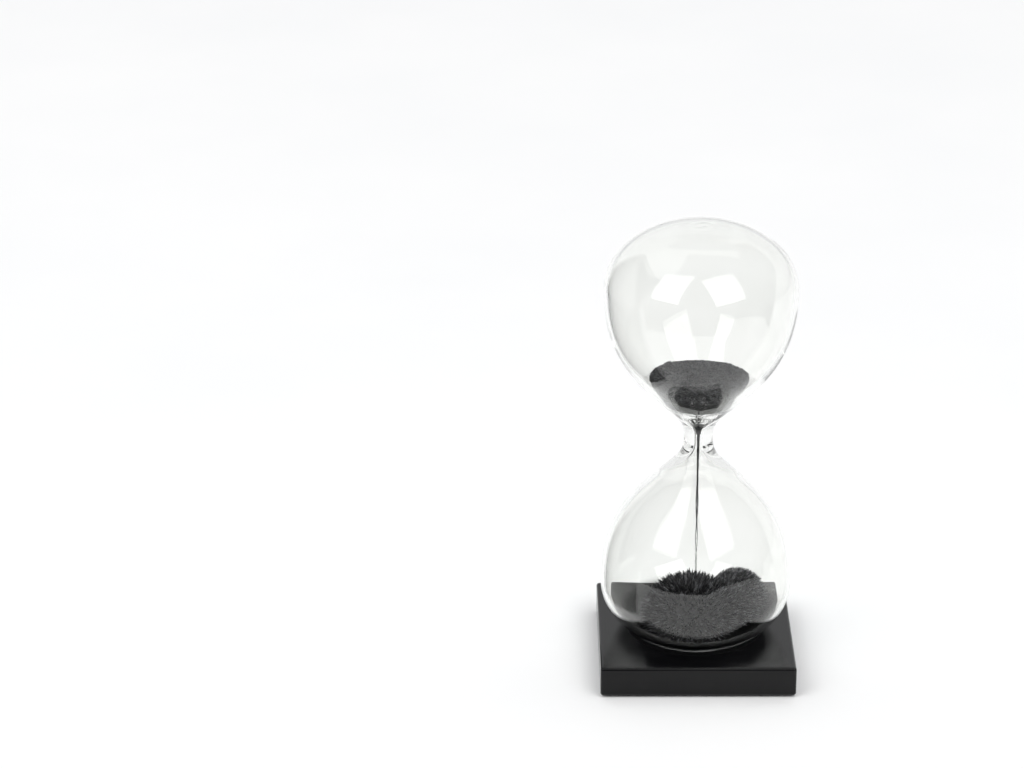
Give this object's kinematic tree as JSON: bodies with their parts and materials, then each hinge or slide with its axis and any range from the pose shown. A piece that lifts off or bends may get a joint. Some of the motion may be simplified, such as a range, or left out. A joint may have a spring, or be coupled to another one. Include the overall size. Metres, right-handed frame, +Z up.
{
  "type": "magnetic hourglass",
  "caption": "Desk hourglass: a glass vessel of iron sand stands loose in the round seat of a square magnetic base, and the falling sand builds spiky mounds over the magnet.",
  "frame": {"origin": "middle of the underside, on the surface that the felt pad rests on", "axes": "+Z up along the axis of the glass, front faces -Y, +X to the right when the front is looked at"},
  "size_m": [0.066, 0.066, 0.1581],
  "materials": {
    "lacquered_wood": "gloss",
    "magnet_plating": "satin",
    "felt": "matte",
    "clear_glass": "polished",
    "iron_sand": "satin"
  },
  "bodies": {
    "base": {"base_block": "lacquered_wood", "base_magnet": "magnet_plating", "felt_pad": "felt"},
    "held_sand": {"front_mound": "iron_sand", "rear_mound": "iron_sand", "sand_stream": "iron_sand"},
    "glass": {"lower_bulb": "clear_glass", "glass_neck": "clear_glass", "upper_bulb": "clear_glass", "crown_seal": "clear_glass", "upper_sand": "iron_sand"}
  },
  "joints": [
    {"name": "glass_lift", "type": "slide", "parent": "base", "child": "held_sand", "axis": [0, 0, 1], "range_m": [0, 0.1]},
    {"name": "glass_spin", "type": "hinge", "parent": "held_sand", "child": "glass", "pos_m": [0, 0, 0.0818], "axis": [0, 0, 1], "continuous": true}
  ]
}
